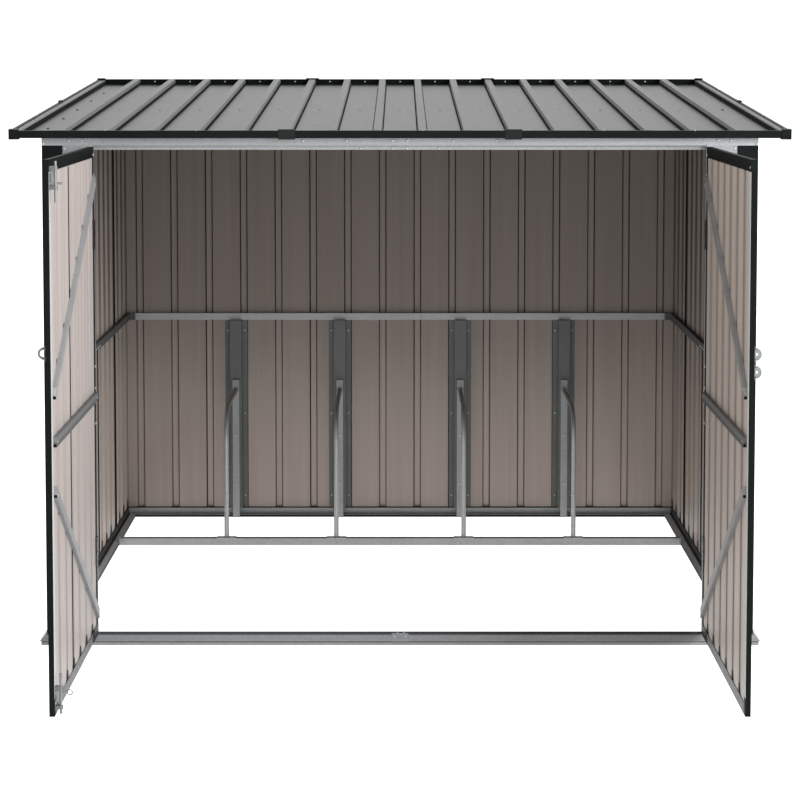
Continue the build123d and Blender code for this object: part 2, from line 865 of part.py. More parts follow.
def bolt_guides():
    """Back plates with two keepers each, for the top bolt and the bottom bolt."""
    along, across = bolt_axis_place()
    bore = Cylinder(bolt_rod_radius + bolt_rod_clearance, bolt_plate_length * 2)
    keeper_radius = bolt_rod_radius + bolt_keeper_wall
    plate = block(
        (-bolt_plate_width / 2, -bolt_standoff, -bolt_plate_length / 2),
        (bolt_plate_width / 2, -bolt_standoff + bolt_plate_thickness, bolt_plate_length / 2),
    )
    post = block(
        (-keeper_radius, -bolt_standoff, -bolt_keeper_height / 2),
        (keeper_radius, 0, bolt_keeper_height / 2),
    )
    keeper = post + Cylinder(keeper_radius, bolt_keeper_height)
    guide = plate
    for side in (-1, 1):
        guide += Pos(0, 0, side * (bolt_plate_length - bolt_keeper_height) / 2) * keeper
    guide -= bore
    offset = bolt_plate_from_tip + bolt_plate_length / 2
    top = Pos(along, across, bolt_top_tip_height - offset) * guide
    bottom = Pos(along, across, bolt_bottom_tip_height + offset) * guide
    return Compound([top, bottom])


def bolt_rod():
    """Round rod with a turned knob, tip up at zero height."""
    rod_length = bolt_plate_from_tip + bolt_plate_length + bolt_throw + bolt_tail
    rod = Pos(0, 0, -rod_length / 2) * Cylinder(bolt_rod_radius, rod_length)
    knob_z = -bolt_plate_from_tip - bolt_plate_length / 2 - bolt_throw / 2
    knob_length = bolt_rod_radius + bolt_knob_length
    knob = Pos(0, knob_length / 2, knob_z) * Rot(90, 0, 0) * Cylinder(bolt_knob_radius, knob_length)
    return rod + knob


def doors():
    along, across = bolt_axis_place()
    rod = bolt_rod()
    low_rod = mirror(rod, about=Plane.XY)
    left = {
        "left_door_frame": door_frame(),
        "left_door_bottom_rail": door_bottom_rail(),
        "left_door_panel": door_panel(),
        "left_door_braces": door_braces(),
        "left_door_hinge_leaves": door_hinge_leaves(),
        "left_door_eye": padlock_eyes(left_eye_heights),
        "left_door_bolt_guides": bolt_guides(),
        "left_door_top_bolt": Pos(along, across, bolt_top_tip_height) * rod,
        "left_door_bottom_bolt": Pos(along, across, bolt_bottom_tip_height) * low_rod,
    }
    right = {
        "right_door_frame": door_frame(),
        "right_door_bottom_rail": door_bottom_rail(),
        "right_door_panel": door_panel(),
        "right_door_braces": door_braces(),
        "right_door_hinge_leaves": door_hinge_leaves(),
        "right_door_eyes": padlock_eyes(right_eye_heights),
    }
    placed = {name: left_door_plane * part for name, part in left.items()}
    for name, part in right.items():
        placed[name] = mirror(left_door_plane * part, about=Plane.YZ)
    return placed


def main():
    nodes = {}
    for pieces in (
        base_rails(),
        corner_posts(),
        door_jambs(),
        header(),
        back_wall(),
        side_walls(),
        mid_rails(),
        top_rails(),
        roof_purlin(),
        roof_sheets(),
        roof_trims(),
        trim_caps(),
        rack_rail(),
        wheel_hoops(),
        rack_uprights(),
        hinge_brackets(),
        doors(),
    ):
        nodes.update(pieces)
    os.makedirs("parts", exist_ok=True)
    for name, part in nodes.items():
        export_step(part, os.path.join("parts", name + ".step"))


main()
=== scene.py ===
"""Metal bike shelter: its finishes, screws and small fittings, put on in the order of assembly."""

import math

import bmesh
import bpy
from mathutils import Matrix, Vector


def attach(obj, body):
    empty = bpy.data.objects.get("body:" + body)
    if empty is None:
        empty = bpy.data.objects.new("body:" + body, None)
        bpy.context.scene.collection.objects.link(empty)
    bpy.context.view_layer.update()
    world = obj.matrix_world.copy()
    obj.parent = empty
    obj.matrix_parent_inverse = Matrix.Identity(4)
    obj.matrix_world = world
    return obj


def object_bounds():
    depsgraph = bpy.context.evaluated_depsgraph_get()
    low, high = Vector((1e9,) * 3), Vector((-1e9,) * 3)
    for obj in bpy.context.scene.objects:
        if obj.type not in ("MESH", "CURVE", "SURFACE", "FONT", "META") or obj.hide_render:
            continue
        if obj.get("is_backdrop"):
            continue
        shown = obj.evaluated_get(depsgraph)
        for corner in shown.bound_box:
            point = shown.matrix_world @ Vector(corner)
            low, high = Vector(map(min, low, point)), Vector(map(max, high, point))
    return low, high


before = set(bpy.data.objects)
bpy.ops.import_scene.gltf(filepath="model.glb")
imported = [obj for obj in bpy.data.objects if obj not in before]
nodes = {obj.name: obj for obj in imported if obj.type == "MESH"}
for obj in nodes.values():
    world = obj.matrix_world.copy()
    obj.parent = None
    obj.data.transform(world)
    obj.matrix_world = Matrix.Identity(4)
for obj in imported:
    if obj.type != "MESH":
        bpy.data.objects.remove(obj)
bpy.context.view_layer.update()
studio = bpy.context.scene
studio.view_settings.view_transform = "Standard"

dome = bpy.data.worlds.new("white_dome")
dome.use_nodes = True
dome.node_tree.nodes["Background"].inputs["Color"].default_value = (1.0, 1.0, 1.0, 1.0)
dome.node_tree.nodes["Background"].inputs["Strength"].default_value = 1.3
studio.world = dome

softbox = bpy.data.lights.new("softbox", "AREA")
softbox.size = 4.0
softbox.energy = 1500.0
softbox.color = (0.94, 0.975, 1.0)
softbox_stand = bpy.data.objects.new("softbox", softbox)
softbox_stand.location = (6.6, -6.4, 3.0)
softbox_aim = Vector((-0.4, 0.0, 0.7)) - softbox_stand.location
softbox_stand.rotation_euler = softbox_aim.to_track_quat("-Z", "Y").to_euler()
studio.collection.objects.link(softbox_stand)

eye = bpy.data.cameras.new("eye")
eye.sensor_width = 36.0
eye.lens = 107.93
eye.shift_y = -0.2
eye_stand = bpy.data.objects.new("eye", eye)
eye_stand.location = (0.0, -6.6986, 1.6572)
eye_stand.rotation_euler = (math.radians(90.0 - 4.35), 0.0, 0.0)
studio.collection.objects.link(eye_stand)
studio.camera = eye_stand

floor_shape = bmesh.new()
bmesh.ops.create_grid(floor_shape, x_segments=8, y_segments=8, size=40.0)
bmesh.ops.translate(floor_shape, vec=(0.0, 0.0, -0.0004), verts=floor_shape.verts)
floor_mesh = bpy.data.meshes.new("floor")
floor_shape.to_mesh(floor_mesh)
floor_shape.free()
floor = bpy.data.objects.new("floor", floor_mesh)
studio.collection.objects.link(floor)
floor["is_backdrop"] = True
floor_paint = bpy.data.materials.new("floor_paint")
floor_paint.use_nodes = True
floor_shader = floor_paint.node_tree.nodes["Principled BSDF"]
floor_shader.inputs["Base Color"].default_value = (0.3, 0.3, 0.3, 1.0)
floor_shader.inputs["Roughness"].default_value = 0.9
floor_shader.inputs["Specular IOR Level"].default_value = 0.1
floor_shader.inputs["Emission Color"].default_value = (1.0, 1.0, 1.0, 1.0)
floor_shader.inputs["Emission Strength"].default_value = 1.4
floor_mesh.materials.append(floor_paint)


# Base rails: four lengths of one galvanised rolled section, mitred at the corners, with the wall sheets
# standing in their trough. A folded capping hangs over the lip all round, and sleeves with two rivets
# cover the joints half way along each side.
def start_finish(name, metallic, specular):
    """Starts a finish: gives its material, a node maker, a linker, an arithmetic step and its shader."""
    material = bpy.data.materials.new(name)
    material.use_nodes = True
    tree = material.node_tree
    join = tree.links.new
    shader = tree.nodes["Principled BSDF"]
    shader.inputs["Metallic"].default_value = metallic
    shader.inputs["Specular IOR Level"].default_value = specular

    def add(kind, **values):
        node = tree.nodes.new("ShaderNode" + kind)
        for key, value in values.items():
            node.inputs[key].default_value = value
        return node

    def worked(operation, first, second):
        node = add("Math")
        node.operation = operation
        for socket, value in zip(node.inputs, (first, second)):
            if isinstance(value, float):
                socket.default_value = value
            else:
                join(value, socket)
        return node.outputs["Value"]

    return material, add, join, worked, shader


def tone_ramp(add, dark, light, low=0.3, high=0.7):
    """Colour ramp between two tones."""
    ramp = add("ValToRGB")
    ramp.color_ramp.elements[0].position = low
    ramp.color_ramp.elements[1].position = high
    ramp.color_ramp.elements[0].color = (*dark, 1.0)
    ramp.color_ramp.elements[1].color = (*light, 1.0)
    return ramp


def share_ramp(add, join, value, stops):
    """Shares of a tone along a value from 0 to 1, through (place, share) stops."""
    ramp = tone_ramp(add, (stops[0][1],) * 3, (stops[-1][1],) * 3, stops[0][0], stops[-1][0])
    for stop, share in stops[1:-1]:
        ramp.color_ramp.elements.new(stop).color = (share, share, share, 1.0)
    join(value, ramp.inputs["Fac"])
    return ramp.outputs["Color"]


def zinc_finish(name, dark, light, along, metallic=0.75, painted_shade=None):
    """Galvanised sheet: small spangles, streaks drawn along the length, uneven gloss.

    Painted shade, where given, is (axis, stops): how much of its tone the zinc keeps along an axis, by
    distance, as shade painted into recesses, under overhangs and by walls. The darker it is painted, the
    duller.
    """
    material, add, join, worked, shader = start_finish(name, metallic, 0.4)
    place = add("TexCoord")
    spangle = add("TexVoronoi", Scale=230.0)
    join(place.outputs["Object"], spangle.inputs["Vector"])
    flake = add("SeparateColor")
    join(spangle.outputs["Color"], flake.inputs["Color"])
    flake_tone = tone_ramp(add, dark, light, 0.0, 1.0)
    join(flake.outputs["Red"], flake_tone.inputs["Fac"])
    drawn = add("Mapping", Scale=[5.0 if axis == along else 260.0 for axis in range(3)])
    join(place.outputs["Object"], drawn.inputs["Vector"])
    streak = add("TexNoise", Scale=1.0, Detail=5.0, Roughness=0.6)
    join(drawn.outputs["Vector"], streak.inputs["Vector"])
    streak_tone = tone_ramp(add, (0.92, 0.92, 0.925), (1.0, 1.0, 1.0), 0.3, 0.62)
    join(streak.outputs["Fac"], streak_tone.inputs["Fac"])
    blend = add("Mix")
    blend.data_type = "RGBA"
    blend.blend_type = "MULTIPLY"
    blend.inputs["Factor"].default_value = 1.0
    join(flake_tone.outputs["Color"], blend.inputs["A"])
    join(streak_tone.outputs["Color"], blend.inputs["B"])
    join(blend.outputs["Result"], shader.inputs["Base Color"])
    bloom = add("TexNoise", Scale=9.0, Detail=3.0)
    join(place.outputs["Object"], bloom.inputs["Vector"])
    gloss = add("MapRange", **{"To Min": 0.48, "To Max": 0.62})
    join(bloom.outputs["Fac"], gloss.inputs["Value"])
    join(gloss.outputs["Result"], shader.inputs["Roughness"])
    # Painted shade along one axis: the tone multiplied down by the stops, the gloss dulled where it is
    # darker.
    if painted_shade:
        axis, stops = painted_shade
        spread = add("SeparateXYZ")
        join(place.outputs["Object"], spread.inputs["Vector"])
        first, last = stops[0][0], stops[-1][0]
        span = add("MapRange", **{"From Min": first, "From Max": last})
        join(worked("ABSOLUTE", spread.outputs[axis], 0.0), span.inputs["Value"])
        even_stops = [((distance - first) / (last - first), share) for distance, share in stops]
        shade_paint = share_ramp(add, join, span.outputs["Result"], even_stops)
        shade_applied = add("VectorMath")
        shade_applied.operation = "MULTIPLY"
        join(blend.outputs["Result"], shade_applied.inputs[0])
        join(shade_paint, shade_applied.inputs[1])
        join(shade_applied.outputs["Vector"], shader.inputs["Base Color"])
        dull = worked("MAXIMUM", gloss.outputs["Result"], worked("SUBTRACT", 1.0, shade_paint))
        join(dull, shader.inputs["Roughness"])
    relief = add("Bump", Strength=0.05, Distance=0.0005)
    join(streak.outputs["Fac"], relief.inputs["Height"])
    join(relief.outputs["Normal"], shader.inputs["Normal"])
    return material


def coat(node_names, material):
    """Gives CAD nodes their finish."""
    for node_name in node_names:
        mesh = nodes[node_name].data
        mesh.materials.clear()
        mesh.materials.append(material)


def add_piece(name, shape, finish, body):
    """Makes a finished shape a piece that rides on a body and takes a slot's finish."""
    mesh = bpy.data.meshes.new(name)
    shape.to_mesh(mesh)
    shape.free()
    mesh.materials.append(finish)
    piece = bpy.data.objects.new(name, mesh)
    studio.collection.objects.link(piece)
    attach(piece, body)
    return piece


def turned(outline, steps, ring=False):
    """Spins a half outline of (radius, height) points round Z; a ring's outline closes on itself."""
    shape = bmesh.new()
    points = [shape.verts.new((radius, 0.0, height)) for radius, height in outline]
    ends = points[1:] + points[:1] if ring else points[1:]
    edges = [shape.edges.new(pair) for pair in zip(points, ends)]
    bmesh.ops.spin(
        shape, geom=points + edges, axis=(0.0, 0.0, 1.0), cent=(0.0, 0.0, 0.0),
        angle=math.tau, steps=steps, use_merge=True,
    )
    bmesh.ops.remove_doubles(shape, verts=shape.verts, dist=0.00001)
    bmesh.ops.recalc_face_normals(shape, faces=shape.faces)
    return shape


def as_pattern(name, shape):
    """Keeps a small shape as a mesh that is set many times."""
    mesh = bpy.data.meshes.new(name)
    shape.to_mesh(mesh)
    shape.free()
    return mesh


def drive(row, pattern, place, out):
    """Sets one copy of a pattern into a row of them, its Z axis turned outwards."""
    first = len(row.verts)
    row.from_mesh(pattern)
    row.verts.ensure_lookup_table()
    turn = Vector(out).to_track_quat("Z", "Y").to_matrix().to_4x4()
    bmesh.ops.transform(row, matrix=Matrix.Translation(place) @ turn, verts=row.verts[first:])


zinc_dark = (0.225, 0.229, 0.233)
zinc_light = (0.262, 0.266, 0.270)
zinc_across = zinc_finish("zinc_across", zinc_dark, zinc_light, 0)
zinc_upright = zinc_finish("zinc_upright", zinc_dark, zinc_light, 2)
zinc_bright = zinc_finish("zinc_bright", (0.36, 0.366, 0.372), (0.44, 0.446, 0.452), 2, 0.85)
# Painted shade on the front sill, by height: a dark line at the foot, the lip a little dimmed, a dark band of
# shadow under the capping's edge, and the trough along the top painted dark.
sill_shade = (
    (0.0, 0.25), (0.0014, 0.72), (0.0080, 0.72), (0.0088, 0.06), (0.0122, 0.06), (0.0132, 1.0),
    (0.0262, 1.0), (0.0272, 0.3), (0.032, 0.3),
)
coat(["front_sill"], zinc_finish("sill_zinc", zinc_dark, zinc_light, 0, painted_shade=("Z", sill_shade)))
# Painted shade on the back base rail, by height: its low inner face and the strip along the top by the wall
# painted nearly black.
back_rail_dark = (0.29, 0.294, 0.298)
back_rail_light = (0.335, 0.339, 0.343)
back_rail_shade = ((0.0, 0.04), (0.0088, 0.04), (0.0097, 1.0), (0.0275, 1.0), (0.0290, 0.12), (0.032, 0.12))
coat(["back_base_rail"], zinc_finish(
    "base_across", back_rail_dark, back_rail_light, 0, 0.3, ("Z", back_rail_shade),
))
# The side base rails take a far paler copy of the zinc, painted light on treads that lie in the roof's shade,
# with painted shade across them: the inner edge and the upstand by the wall nearly black, the outer face
# dimmed.
side_rail_dark = (0.56, 0.565, 0.57)
side_rail_light = (0.64, 0.645, 0.65)
side_rail_shade = (
    (0.9555, 0.07), (0.9573, 0.07), (0.9582, 1.0), (0.9752, 1.0), (0.9772, 0.06), (0.9985, 0.06),
    (1.0005, 0.4), (1.015, 0.4),
)
coat(["left_base_rail", "right_base_rail"], zinc_finish(
    "base_deep", side_rail_dark, side_rail_light, 1, 0.1, ("X", side_rail_shade),
))

post_face_x = 1.0
front_face_y = -0.00675
back_face_y = 1.92125
middle_y = (front_face_y + back_face_y) / 2

thin_sheet = 0.0006
capping = bmesh.new()
capping_folds = []
for reach, height in ((0.0040, 0.0270), (0.0150, 0.0160), (0.0188, 0.0122)):
    corners = [
        capping.verts.new((side * (post_face_x + reach), edge_y, height))
        for side, edge_y in (
            (-1, front_face_y - reach), (1, front_face_y - reach),
            (1, back_face_y + reach), (-1, back_face_y + reach),
        )
    ]
    capping_folds.append([capping.edges.new(pair) for pair in zip(corners, corners[1:] + corners[:1])])
for above, below in zip(capping_folds, capping_folds[1:]):
    bmesh.ops.bridge_loops(capping, edges=above + below)
bmesh.ops.recalc_face_normals(capping, faces=capping.faces)
bmesh.ops.solidify(capping, geom=capping.faces[:], thickness=thin_sheet)
add_piece("base_capping", capping, zinc_across, "frame")

low_head = as_pattern("low_head", turned(
    ((0.0, -0.0003), (0.003, -0.0003), (0.003, 0.0004), (0.0022, 0.0011), (0.0, 0.0013)), 12,
))


def folded(fold_line, run, sheet):
    """Folds a strip of sheet along a line of bends, over a straight run."""
    strip = bmesh.new()
    corners = [strip.verts.new(corner) for corner in fold_line]
    bends = [strip.edges.new(pair) for pair in zip(corners, corners[1:])]
    grown = bmesh.ops.extrude_edge_only(strip, edges=bends)["geom"]
    grown_verts = [part for part in grown if isinstance(part, bmesh.types.BMVert)]
    bmesh.ops.translate(strip, vec=run, verts=grown_verts)
    bmesh.ops.recalc_face_normals(strip, faces=strip.faces)
    bmesh.ops.solidify(strip, geom=strip.faces[:], thickness=sheet)
    return strip


sleeve_half_width = 0.024
sleeve_folds = ((0.0008, 0.0312), (0.0155, 0.0165), (0.0196, 0.0118), (0.0166, 0.0104))
sleeves = bmesh.new()
rivets = bmesh.new()
for spin, place_x, place_y in (
    (0.0, 0.0, front_face_y), (90.0, post_face_x, middle_y),
    (180.0, 0.0, back_face_y), (-90.0, -post_face_x, middle_y),
):
    sleeve = folded(
        [(-sleeve_half_width, -reach, height) for reach, height in sleeve_folds],
        (2 * sleeve_half_width, 0.0, 0.0), thin_sheet,
    )
    place = Matrix.Translation((place_x, place_y, 0.0)) @ Matrix.Rotation(math.radians(spin), 4, "Z")
    bmesh.ops.transform(sleeve, matrix=place, verts=sleeve.verts)
    sleeves.from_mesh(as_pattern("sleeve", sleeve))
    for along in (-0.016, 0.016):
        spot = place @ Vector((along, -0.0083, 0.0243))
        drive(rivets, low_head, spot, place.to_3x3() @ Vector((0.0, -1.0, 1.0)))
for along in (-0.0065, 0.0107):
    drive(rivets, low_head, (along, front_face_y + 0.0135, 0.0285), (0.0, -1.0, 0.0))
for side in (-1, 1):
    for along in (-0.075, 0.045):
        drive(rivets, low_head, (side * (post_face_x - 0.03), middle_y + along, 0.010), (0.0, 0.0, 1.0))
add_piece("base_sleeves", sleeves, zinc_across, "frame")
add_piece("base_rivets", rivets, zinc_bright, "frame")


# Corner posts and hinge jambs: folded angles standing in the rails' trough. The posts are coil-coated
# dark and screwed to the side walls; the jambs behind them are bare galvanised and carry the hinges.
def coat_wear(add, join, place, shader, dust_scale, smooth, rough, peel_scale):
    """Gloss that dust makes uneven, and a coating's fine orange peel; gives back the gloss."""
    dust = add("TexNoise", Scale=dust_scale, Detail=4.0)
    join(place.outputs["Object"], dust.inputs["Vector"])
    gloss = add("MapRange", **{"To Min": smooth, "To Max": rough})
    join(dust.outputs["Fac"], gloss.inputs["Value"])
    join(gloss.outputs["Result"], shader.inputs["Roughness"])
    peel = add("TexNoise", Scale=peel_scale, Detail=2.0)
    join(place.outputs["Object"], peel.inputs["Vector"])
    relief = add("Bump", Strength=0.05, Distance=0.0002)
    join(peel.outputs["Fac"], relief.inputs["Height"])
    join(relief.outputs["Normal"], shader.inputs["Normal"])
    return gloss.outputs["Result"]


def dark_finish(name, dark, light, specular=0.06):
    """Coil coating: near-black green-grey with slow colour drift, orange peel and uneven gloss."""
    material, add, join, _, shader = start_finish(name, 0.0, specular)
    place = add("TexCoord")
    drift = add("TexNoise", Scale=3.0, Detail=4.0)
    join(place.outputs["Object"], drift.inputs["Vector"])
    tone = tone_ramp(add, dark, light)
    join(drift.outputs["Fac"], tone.inputs["Fac"])
    join(tone.outputs["Color"], shader.inputs["Base Color"])
    coat_wear(add, join, place, shader, 40.0, 0.34, 0.5, 650.0)
    return material


coat_dark = dark_finish("dark_coat", (0.0022, 0.0034, 0.0033), (0.0034, 0.0047, 0.0045))
coat(["front_corner_posts", "back_corner_posts"], coat_dark)
coat(["door_jambs"], zinc_finish("zinc_jambs", (0.19, 0.193, 0.196), (0.222, 0.225, 0.228), 2))

screw_head = as_pattern("screw_head", turned(
    (
        (0.0, -0.0003), (0.0042, -0.0003), (0.0042, 0.0007), (0.0036, 0.0016), (0.0024, 0.0022),
        (0.0015, 0.0023), (0.0013, 0.0010), (0.0, 0.0010),
    ), 12,
))
side_screw_inset = 0.032
back_screw_x = 0.957
post_screws = bmesh.new()
for side in (-1, 1):
    for height in (0.12, 0.42, 0.72, 1.02, 1.32):
        for edge_y in (front_face_y + side_screw_inset, back_face_y - side_screw_inset):
            drive(post_screws, screw_head, (side * post_face_x, edge_y, height), (side, 0.0, 0.0))
        drive(post_screws, screw_head, (side * back_screw_x, back_face_y, height), (0.0, 1.0, 0.0))
add_piece("post_screws", post_screws, coat_dark, "frame")
jamb_screw_x = 0.936
jamb_face_y = front_face_y + 0.0015
lip_screw_height = 1.404
jamb_screws = bmesh.new()
for side in (-1, 1):
    drive(jamb_screws, low_head, (side * jamb_screw_x, jamb_face_y, lip_screw_height), (0.0, -1.0, 0.0))
add_piece("jamb_screws", jamb_screws, zinc_bright, "frame")


# Header: a rolled galvanised length over the doorway, lapped in the middle and screwed to the jambs,
# with a row of screws along its face and a few in the lip below. A small stop at each end meets a door.
coat(["header"], zinc_across)

lap_size = (0.062, 0.0009, 0.0238)
header_lap = bmesh.new()
bmesh.ops.create_cube(header_lap, size=1.0)
bmesh.ops.scale(header_lap, vec=lap_size, verts=header_lap.verts)
bmesh.ops.translate(header_lap, vec=(0.0, front_face_y - 0.00035, 1.4250), verts=header_lap.verts)
bmesh.ops.bevel(
    header_lap, geom=header_lap.edges[:], offset=0.0002, affect="EDGES", segments=1, profile=0.5, material=-1,
)
add_piece("header_lap", header_lap, zinc_across, "frame")
lap_face_y = front_face_y - 0.0008
lip_face_y = front_face_y + 0.015
header_screw_height = 1.426
header_screws = bmesh.new()
for along in (-0.2707, -0.1495, 0.1492, 0.2704):
    drive(header_screws, screw_head, (along, front_face_y, header_screw_height), (0.0, -1.0, 0.0))
for along in (-0.0199, 0.0196):
    drive(header_screws, screw_head, (along, lap_face_y, header_screw_height), (0.0, -1.0, 0.0))
for along, height in ((0.887, 1.427), (0.923, 1.427), (0.996, 1.417)):
    for side in (-1, 1):
        drive(header_screws, screw_head, (side * along, front_face_y, height), (0.0, -1.0, 0.0))
for along in (-0.110, -0.020, 0.020, 0.110):
    drive(header_screws, low_head, (along, lip_face_y, lip_screw_height), (0.0, -1.0, 0.0))


def add_block(row, low, high):
    """Adds a small box between two corners to a row of them."""
    corners = bmesh.ops.create_cube(row, size=1.0)["verts"]
    bmesh.ops.scale(row, vec=[abs(far - near) for near, far in zip(low, high)], verts=corners)
    bmesh.ops.translate(row, vec=[(near + far) / 2 for near, far in zip(low, high)], verts=corners)


stop_near_x, stop_far_x = 0.855, 0.871
stop_foot, stop_head = 1.4035, 1.4170
door_stops = bmesh.new()
for side in (-1, 1):
    low_corner = (side * stop_near_x, front_face_y - 0.0014, stop_foot)
    add_block(door_stops, low_corner, (side * stop_far_x, front_face_y + 0.0004, stop_head))
add_piece("door_stops", door_stops, zinc_upright, "frame")
add_piece("header_screws", header_screws, zinc_bright, "frame")


# Wall sheets: thin steel with pressed ribs, coil-coated dark outside and with a beige backing coat inside.
# The sheets lap on a rib and are screwed to the rails from outside, one screw a pan. Inside, light and shade
# are painted into the beige: paler crowns, shade on the ribs' flanks and in bands beside them, dark teeth at
# their feet, dark lines along the laps, and darker towards the top. The side sheets' laps have folded edges.
def sheet_finish(name, outward, backing, rib, foot, tone_shares, flank_shares, band_shade_shares, seams, tooth):
    """Two-sided coil coating: dark where the sheet faces outward, beige backing coat elsewhere.

    Rib is (axis, one rib's place, pitch, half the crown, half the foot). Foot is the height where the grooves
    end in painted shade, dark teeth as high as tooth. Tone shares lift or dim the backing low down and high
    up, as painted light and shade; flank and band shares are what painted shade leaves of it on the ribs'
    flanks and in bands beside the ribs, and the crowns are painted a fifth lighter as a highlight. Seams are
    places of dark lap lines, painted shade along the laps.
    """
    material, add, join, worked, shader = start_finish(name, 0.0, 0.3)

    def eased(value, start, end, low, high):
        node = add("MapRange")
        node.interpolation_type = "SMOOTHSTEP"
        for key, number in (("From Min", start), ("From Max", end), ("To Min", low), ("To Max", high)):
            node.inputs[key].default_value = number
        join(value, node.inputs["Value"])
        return node.outputs["Result"]

    place = add("TexCoord")
    facing = add("VectorMath")
    facing.operation = "DOT_PRODUCT"
    facing.inputs[1].default_value = outward
    join(place.outputs["Normal"], facing.inputs[0])
    outside = worked("GREATER_THAN", facing.outputs["Value"], 0.05)
    rolled = add("Mapping", Scale=(60.0, 60.0, 1.2))
    join(place.outputs["Object"], rolled.inputs["Vector"])
    drift = add("TexNoise", Scale=1.0, Detail=4.0)
    join(rolled.outputs["Vector"], drift.inputs["Vector"])
    beige = tone_ramp(add, *backing)
    join(drift.outputs["Fac"], beige.inputs["Fac"])
    axis, rib_place, pitch, half_crown, half_foot = rib
    spot = add("SeparateXYZ")
    join(place.outputs["Object"], spot.inputs["Vector"])
    from_rib = worked("PINGPONG", worked("SUBTRACT", spot.outputs[axis], rib_place), pitch / 2)
    # Painted highlight on the crowns, a fifth lighter than the pans; painted shade on the flanks, deeper
    # higher up.
    on_crown = eased(from_rib, half_crown - 0.0015, half_crown + 0.0005, 1.2, 0.0)
    on_pan = eased(from_rib, half_foot - 0.0005, half_foot + 0.001, 0.0, 1.0)
    flank = eased(spot.outputs["Z"], 0.35, 1.0, *flank_shares)
    lit_share = worked("MAXIMUM", flank, worked("MAXIMUM", on_crown, on_pan))
    # Painted shade in soft bands beside the ribs, deeper higher up.
    beside = eased(from_rib, half_foot + 0.006, half_foot + 0.026, 0.0, 1.0)
    band_shaded = worked("MAXIMUM", beside, eased(spot.outputs["Z"], 0.35, 1.1, *band_shade_shares))
    lit_share = worked("MULTIPLY", lit_share, band_shaded)
    # Painted light and shade by height: the backing lifted or dimmed low down and high up.
    lit_share = worked("MULTIPLY", lit_share, eased(spot.outputs["Z"], 0.25, 0.9, *tone_shares))
    # Painted shade at the grooves' feet: dark teeth rising from the foot.
    tooth_top = eased(from_rib, 0.011, 0.042, foot + tooth, foot - 0.003)
    above_tooth = worked("SUBTRACT", spot.outputs["Z"], tooth_top)
    lit_share = worked("MULTIPLY", lit_share, eased(above_tooth, -0.002, 0.003, 0.04, 1.0))
    # Painted shade along each lap line.
    for seam in seams:
        gap = worked("ABSOLUTE", worked("SUBTRACT", spot.outputs[axis], seam), 0.0)
        lit_share = worked("MULTIPLY", lit_share, eased(gap, 0.0008, 0.0022, 0.12, 1.0))
    shade_dimmed = add("VectorMath")
    shade_dimmed.operation = "SCALE"
    join(beige.outputs["Color"], shade_dimmed.inputs[0])
    join(lit_share, shade_dimmed.inputs["Scale"])
    dark = tone_ramp(add, (0.0055, 0.0072, 0.0072), (0.0075, 0.0093, 0.009))
    join(drift.outputs["Fac"], dark.inputs["Fac"])
    blend = add("Mix")
    blend.data_type = "RGBA"
    join(outside, blend.inputs["Factor"])
    join(shade_dimmed.outputs["Vector"], blend.inputs["A"])
    join(dark.outputs["Color"], blend.inputs["B"])
    join(blend.outputs["Result"], shader.inputs["Base Color"])
    coat_wear(add, join, place, shader, 25.0, 0.42, 0.58, 500.0)
    return material


beige_backing = ((0.255, 0.212, 0.184), (0.285, 0.241, 0.213))
wall_pitch = 0.125
wall_pan_depth = 0.0125
wall_foot = 0.032
back_rib = ("X", wall_pitch / 2, wall_pitch, 0.010, 0.0135)
side_rib = ("Y", middle_y + wall_pitch / 2, wall_pitch, 0.010, 0.0135)
side_seams = (1.060, 1.533)
back_seams = (-0.699, -0.324, 0.051, 0.426)
# Inside the side walls the beige is painted lighter on the left, where the lamp falls, than on the right, and
# both have painted shade on the ribs' flanks and beside the ribs, deeper high up.
for node_name, outward, tone_shares in (
    ("left_wall", (-1.0, 0.0, 0.0), (1.3, 1.15)), ("right_wall", (1.0, 0.0, 0.0), (0.97, 0.9)),
):
    coat([node_name], sheet_finish(
        node_name + "_sheet", outward, beige_backing, side_rib, wall_foot, tone_shares, (0.8, 0.3),
        (0.85, 0.36), side_seams, 0.03,
    ))
# The back wall is painted lighter low down and darker high up, as shade under the roof, with painted shade on
# its ribs' flanks.
coat(["back_wall"], sheet_finish(
    "back_wall_sheet", (0.0, 1.0, 0.0), beige_backing, back_rib, wall_foot, (1.08, 0.66), (0.5, 0.2),
    (1.0, 1.0), back_seams, 0.0,
))

mid_rail_height = 0.727
seam_foot = wall_foot + 0.004
seam_top = 1.46
seam_depth = 0.0050
below_rail = mid_rail_height - 0.014
above_rail = mid_rail_height + 0.014
wall_pan_x = post_face_x - wall_pan_depth
seam_folds = bmesh.new()
for side in (-1, 1):
    for place_y, low, high in (
        (side_seams[0], seam_foot, below_rail), (side_seams[1], seam_foot, below_rail),
        (side_seams[1], above_rail, seam_top),
    ):
        add_block(
            seam_folds, (side * wall_pan_x, place_y - thin_sheet, low),
            (side * (wall_pan_x - seam_depth), place_y + thin_sheet, high),
        )
add_piece("wall_seam_folds", seam_folds, coat_dark, "frame")

roof_fall = 125.0 / 1993.2
back_top_rail_height = 1.545
side_top_rail_height = 1.4845
wall_screws = bmesh.new()
for number in range(-7, 8):
    for height in (mid_rail_height, back_top_rail_height):
        place = (number * wall_pitch, back_face_y - wall_pan_depth, height)
        drive(wall_screws, screw_head, place, (0.0, 1.0, 0.0))
for number in range(-6, 7):
    place_y = middle_y + number * wall_pitch
    for height in (mid_rail_height, side_top_rail_height + number * wall_pitch * roof_fall):
        for side in (-1, 1):
            drive(wall_screws, screw_head, (side * wall_pan_x, place_y, height), (side, 0.0, 0.0))
add_piece("wall_screws", wall_screws, coat_dark, "frame")


